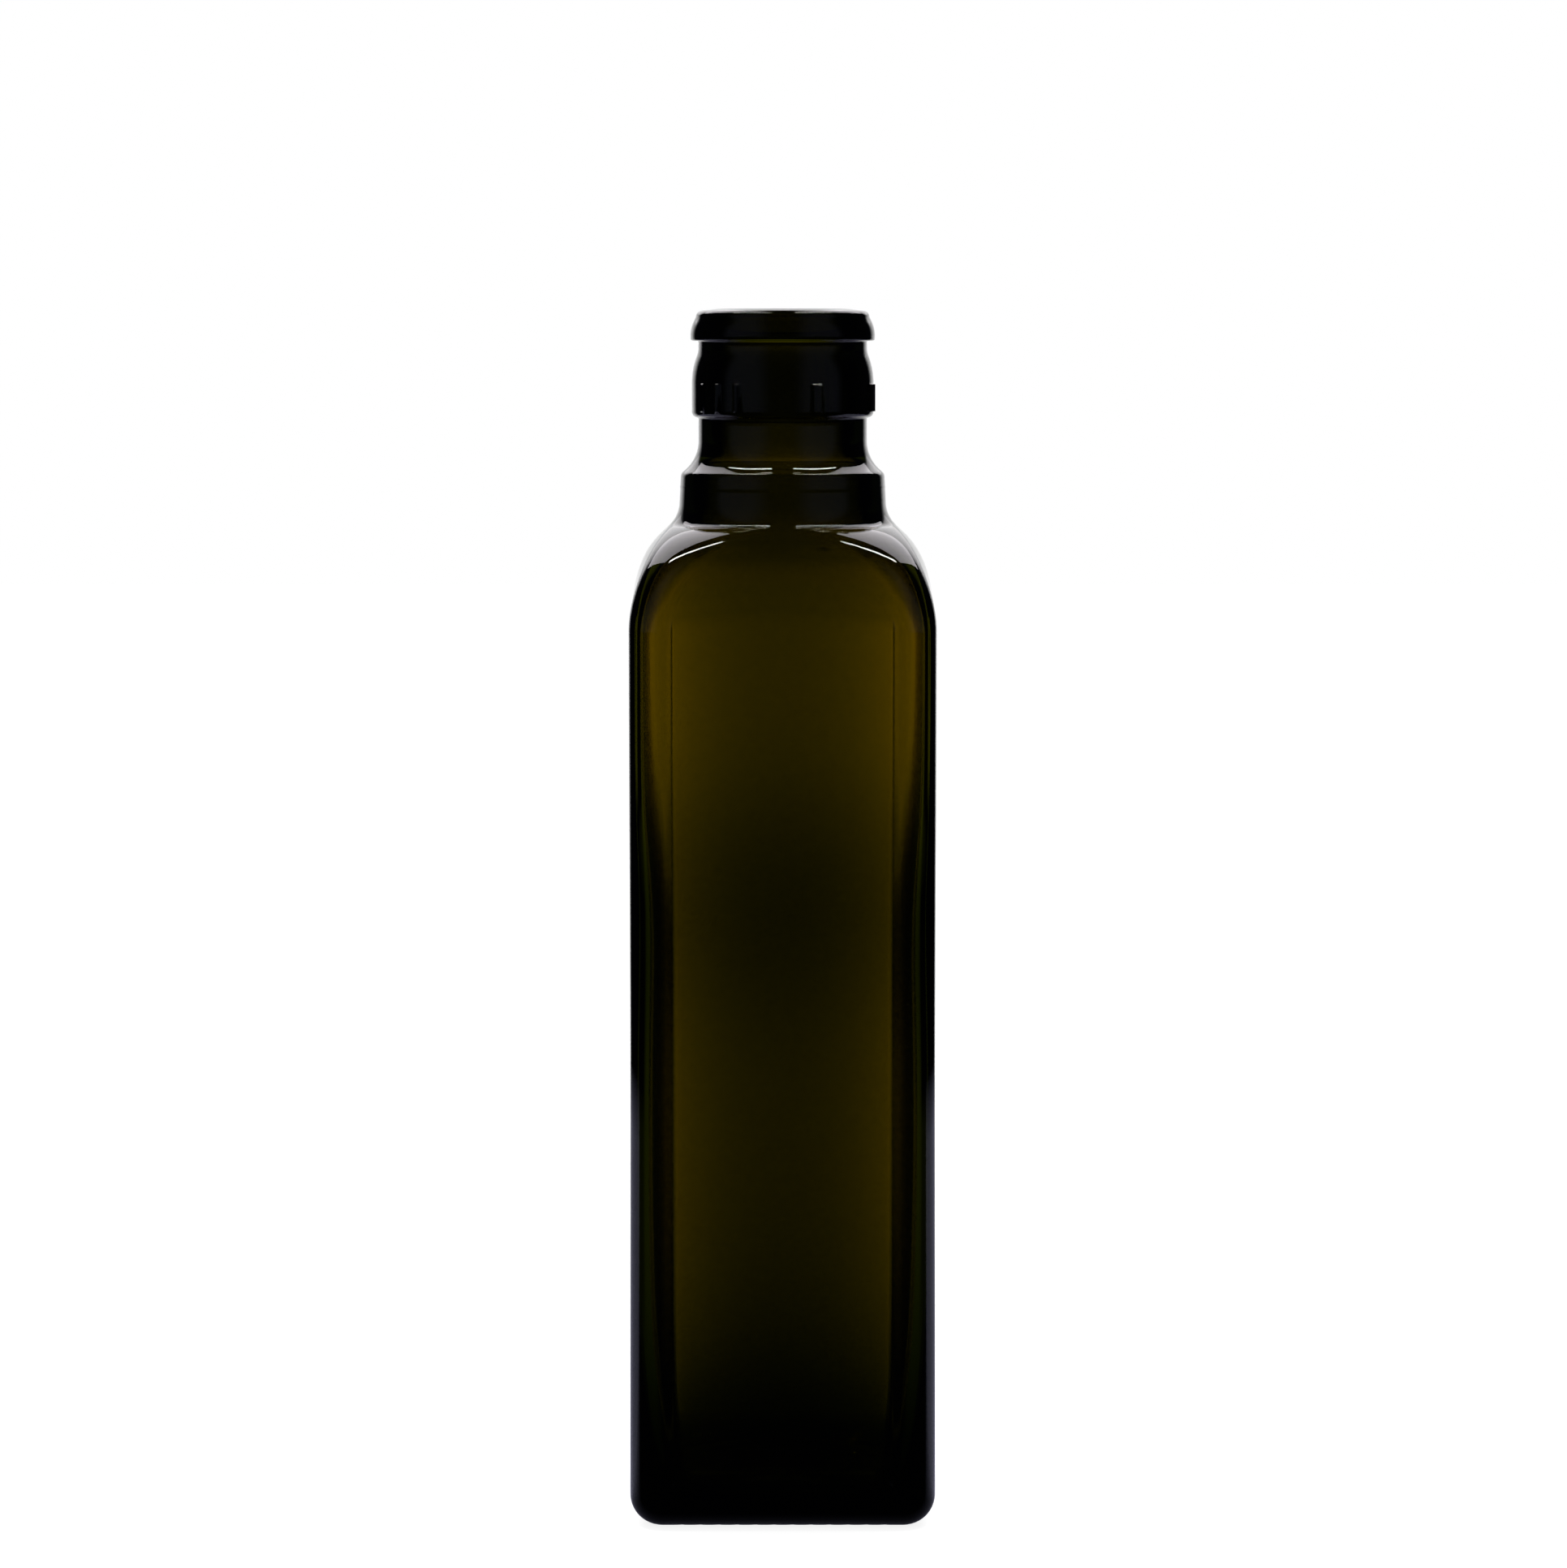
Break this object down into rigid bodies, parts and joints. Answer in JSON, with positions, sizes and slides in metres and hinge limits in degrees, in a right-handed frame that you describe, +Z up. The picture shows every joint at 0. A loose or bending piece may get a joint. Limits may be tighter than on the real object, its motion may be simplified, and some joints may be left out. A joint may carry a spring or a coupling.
{
  "type": "square glass bottle",
  "caption": "Tall square glass bottle with rounded upright corners, domed shoulder, round collar and a finish for a press-on pourer, empty and open.",
  "frame": {"origin": "centre of the base, on the plane the bottle stands on", "axes": "+Z up along the bottle's axis to the mouth; -Y is the front face"},
  "size_m": [0.0596, 0.0596, 0.2366],
  "materials": {
    "glass": "dark olive green, clear and glossy"
  },
  "bodies": {
    "root": {"bottle": "glass"}
  },
  "joints": []
}
